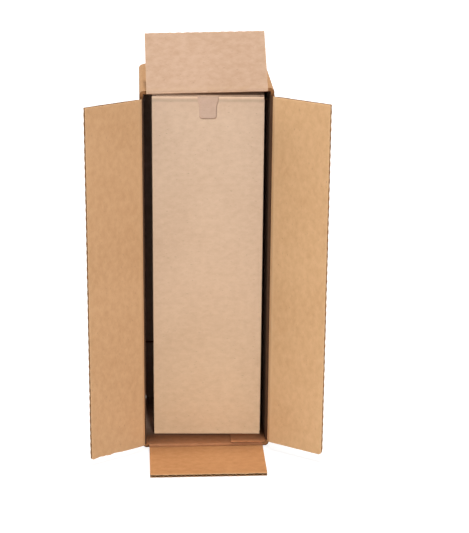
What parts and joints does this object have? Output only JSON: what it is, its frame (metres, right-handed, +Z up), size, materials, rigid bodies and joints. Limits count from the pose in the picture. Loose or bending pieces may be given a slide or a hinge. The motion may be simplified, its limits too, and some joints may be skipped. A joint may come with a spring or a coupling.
{
  "type": "bottle shipping box",
  "caption": "Upright corrugated shipping case, open along its long side with hinged flaps, holding a tuck-end inner carton with folded bottle supports.",
  "frame": {"origin": "middle of the base's underside", "axes": "+Z up along the long side, -Y out of the open side, +X to the right of someone who faces the open side"},
  "size_m": [0.2181, 0.1846, 0.3961],
  "materials": {
    "kraft_case": "matt brown kraft corrugated board",
    "kraft_carton": "matt pale kraft fine-flute board",
    "kraft_insert": "matt brown kraft fine-flute board",
    "paper_tape": "satin gummed kraft paper tape"
  },
  "bodies": {
    "case": {"outer_case": "kraft_case", "rear_tape": "paper_tape", "inner_carton": "kraft_carton", "base_tray": "kraft_insert", "bottle_collar": "kraft_insert", "neck_collar": "kraft_insert"},
    "left_flap": {"flap_left": "kraft_case"},
    "right_flap": {"flap_right": "kraft_case"},
    "top_flap": {"flap_top": "kraft_case"},
    "bottom_flap": {"flap_bottom": "kraft_case"}
  },
  "joints": [
    {"name": "left_flap_hinge", "type": "hinge", "parent": "case", "child": "left_flap", "pos_m": [-0.05875, -0.06225, 0.17465], "axis": [0, 0, -1], "range_deg": [-149.5, 75.5]},
    {"name": "right_flap_hinge", "type": "hinge", "parent": "case", "child": "right_flap", "pos_m": [0.05875, -0.06225, 0.17685], "axis": [0, 0, 1], "range_deg": [-146.7, 78.3]},
    {"name": "top_flap_hinge", "type": "hinge", "parent": "case", "child": "top_flap", "pos_m": [0, -0.05875, 0.3488], "axis": [-0.9998, 0, -0.0192], "range_deg": [-223, 2]},
    {"name": "bottom_flap_hinge", "type": "hinge", "parent": "case", "child": "bottom_flap", "pos_m": [0, -0.05875, 0.0016], "axis": [1, 0, 0], "range_deg": [-90, 0]}
  ]
}
